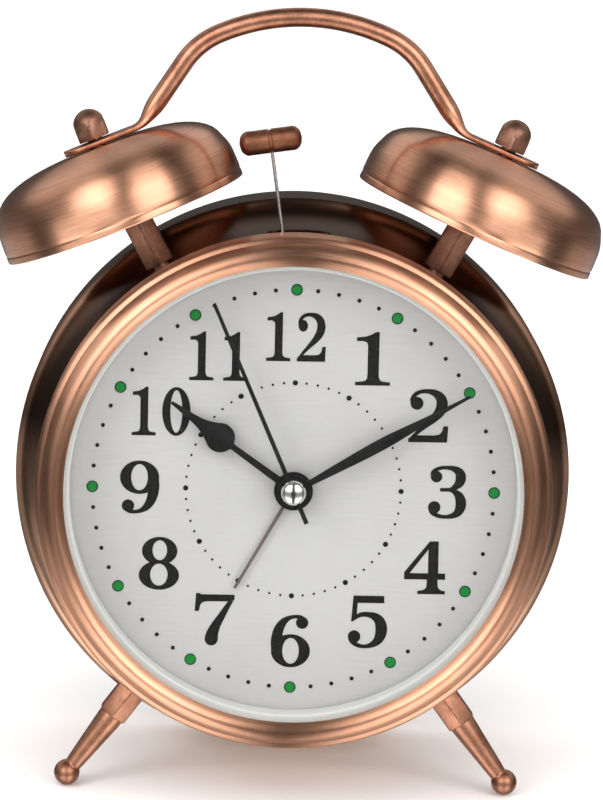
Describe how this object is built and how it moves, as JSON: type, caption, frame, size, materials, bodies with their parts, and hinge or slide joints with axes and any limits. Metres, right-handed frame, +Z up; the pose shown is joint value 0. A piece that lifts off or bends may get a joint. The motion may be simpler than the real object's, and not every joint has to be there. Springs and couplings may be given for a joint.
{
  "type": "twin-bell alarm clock",
  "caption": "Round copper-finish alarm clock with two bells, a hammer between them, a loop handle, splayed ball feet and a white dial with Arabic numerals.",
  "frame": {"origin": "middle of the clock's bounding box at table level, with the clock standing on its two feet and its rear rim", "axes": "+Z up; +X to the right seen from the front; the dial faces -Y and leans back by about 11 degrees"},
  "size_m": [0.1226, 0.068, 0.1573],
  "materials": {
    "brushed_copper": "copper-plated steel sheet, brushed round and lacquered, browned in the hollows",
    "antique_copper": "antiqued copper plating, satin",
    "clear_lens": "clear flat lens, polished",
    "dial_white": "silk white printed dial",
    "white_plastic": "natural white moulding",
    "black_plastic": "fine-textured black moulding",
    "steel": "zinc-plated steel",
    "brass": "turned brass",
    "black_hands": "matt black painted steel",
    "grey_hand": "dark grey painted steel",
    "chrome": "polished chrome",
    "magnet": "bonded ferrite",
    "circuit_green": "green solder resist on board",
    "copper_winding": "enamelled copper wire",
    "cell_wrap": "plain dark wrapped cell"
  },
  "bodies": {
    "clock": {"battery_cell": "cell_wrap", "battery_contact": "steel", "battery_spring": "steel", "battery_tray": "black_plastic", "bell_left": "brushed_copper", "bell_post_left": "antique_copper", "bell_post_right": "antique_copper", "bell_right": "brushed_copper", "bezel": "brushed_copper", "cap_nut_left": "antique_copper", "cap_nut_right": "antique_copper", "case_shell": "brushed_copper", "circuit_board": "circuit_green", "coil_core": "steel", "coil_winding": "copper_winding", "cover_screw_1": "steel", "cover_screw_2": "steel", "cover_screw_3": "steel", "dial": "dial_white", "dial_plate": "white_plastic", "foot_left": "antique_copper", "foot_nut_left": "steel", "foot_nut_right": "steel", "foot_right": "antique_copper", "hammer_bracket": "steel", "hammer_motor": "steel", "hammer_pivot_pin": "steel", "handle": "antique_copper", "lens": "clear_lens", "movement_front": "white_plastic", "movement_rear": "black_plastic", "post_nut_left": "steel", "post_nut_right": "steel", "quartz_crystal": "steel", "rear_cover": "black_plastic", "spacer_ring": "white_plastic", "stator": "steel"},
    "seconds": {"second_arbor": "steel", "second_hand": "black_hands", "hand_cap": "chrome"},
    "third_wheel": {"third_wheel": "white_plastic"},
    "centre_wheel": {"centre_wheel": "white_plastic"},
    "idler_wheel": {"idler_wheel": "white_plastic"},
    "rotor": {"rotor": "magnet"},
    "minutes": {"cannon_pinion": "brass", "minute_hand": "black_hands"},
    "hours": {"hour_wheel": "white_plastic", "hour_hand": "black_hands"},
    "time_setting": {"time_arbor": "white_plastic", "time_knob": "black_plastic"},
    "alarm_setting": {"alarm_arbor": "white_plastic", "alarm_knob": "black_plastic"},
    "alarm_disc": {"alarm_wheel": "white_plastic", "alarm_hand": "grey_hand"},
    "hammer": {"hammer_lever": "black_plastic", "hammer_wire": "steel", "hammer_head": "antique_copper"},
    "crank": {"hammer_crank": "white_plastic"},
    "switch": {"alarm_switch": "black_plastic"},
    "door": {"battery_door": "black_plastic"}
  },
  "joints": [
    {"name": "second_hand_spin", "type": "hinge", "parent": "clock", "child": "seconds", "pos_m": [0, -0.00575, 0.06179], "axis": [0, 0.9839, -0.1787], "continuous": true},
    {"name": "third_wheel_spin", "type": "hinge", "parent": "clock", "child": "third_wheel", "pos_m": [0, -0.00758, 0.05176], "axis": [0, 0.9839, -0.1787], "continuous": true},
    {"name": "centre_wheel_spin", "type": "hinge", "parent": "clock", "child": "centre_wheel", "pos_m": [0, -0.00575, 0.06179], "axis": [0, 0.9839, -0.1787], "continuous": true},
    {"name": "idler_wheel_spin", "type": "hinge", "parent": "clock", "child": "idler_wheel", "pos_m": [0, -0.00425, 0.07006], "axis": [0, 0.9839, -0.1787], "continuous": true},
    {"name": "rotor_spin", "type": "hinge", "parent": "clock", "child": "rotor", "pos_m": [-0.00594, -0.00319, 0.0759], "axis": [0, 0.9839, -0.1787], "continuous": true},
    {"name": "time_knob_spin", "type": "hinge", "parent": "clock", "child": "time_setting", "pos_m": [-0.012, -0.00575, 0.06179], "axis": [0, 0.9839, -0.1787], "continuous": true},
    {"name": "minute_hand_spin", "type": "hinge", "parent": "clock", "child": "minutes", "pos_m": [0, -0.00575, 0.06179], "axis": [0, 0.9839, -0.1787], "continuous": true},
    {"name": "hour_hand_spin", "type": "hinge", "parent": "clock", "child": "hours", "pos_m": [0, -0.00575, 0.06179], "axis": [0, 0.9839, -0.1787], "continuous": true},
    {"name": "alarm_knob_spin", "type": "hinge", "parent": "clock", "child": "alarm_setting", "pos_m": [0.012, -0.00575, 0.06179], "axis": [0, 0.9839, -0.1787], "continuous": true},
    {"name": "alarm_hand_spin", "type": "hinge", "parent": "clock", "child": "alarm_disc", "pos_m": [0, -0.00575, 0.06179], "axis": [0, 0.9839, -0.1787], "continuous": true},
    {"name": "hammer_swing", "type": "hinge", "parent": "clock", "child": "hammer", "pos_m": [-0.0006, 0.00014, 0.09426], "axis": [0, 0.9839, -0.1787], "range_deg": [-2, 21]},
    {"name": "crank_spin", "type": "hinge", "parent": "clock", "child": "crank", "pos_m": [0.009, 0.00014, 0.09426], "axis": [0, 0.9839, -0.1787], "continuous": true},
    {"name": "alarm_switch_slide", "type": "slide", "parent": "clock", "child": "switch", "axis": [1, 0, 0], "range_m": [0, 0.006]},
    {"name": "battery_door_slide", "type": "slide", "parent": "clock", "child": "door", "axis": [1, 0, 0], "range_m": [0, 0.003]}
  ],
  "couplings": [
    {"joint": "third_wheel_spin", "follows": "second_hand_spin", "ratio": -0.13333},
    {"joint": "centre_wheel_spin", "follows": "second_hand_spin", "ratio": 0.016667},
    {"joint": "idler_wheel_spin", "follows": "second_hand_spin", "ratio": -5},
    {"joint": "rotor_spin", "follows": "second_hand_spin", "ratio": 30},
    {"joint": "minute_hand_spin", "follows": "time_knob_spin", "ratio": -3},
    {"joint": "hour_hand_spin", "follows": "time_knob_spin", "ratio": -0.25},
    {"joint": "alarm_hand_spin", "follows": "alarm_knob_spin", "ratio": -0.33333}
  ]
}
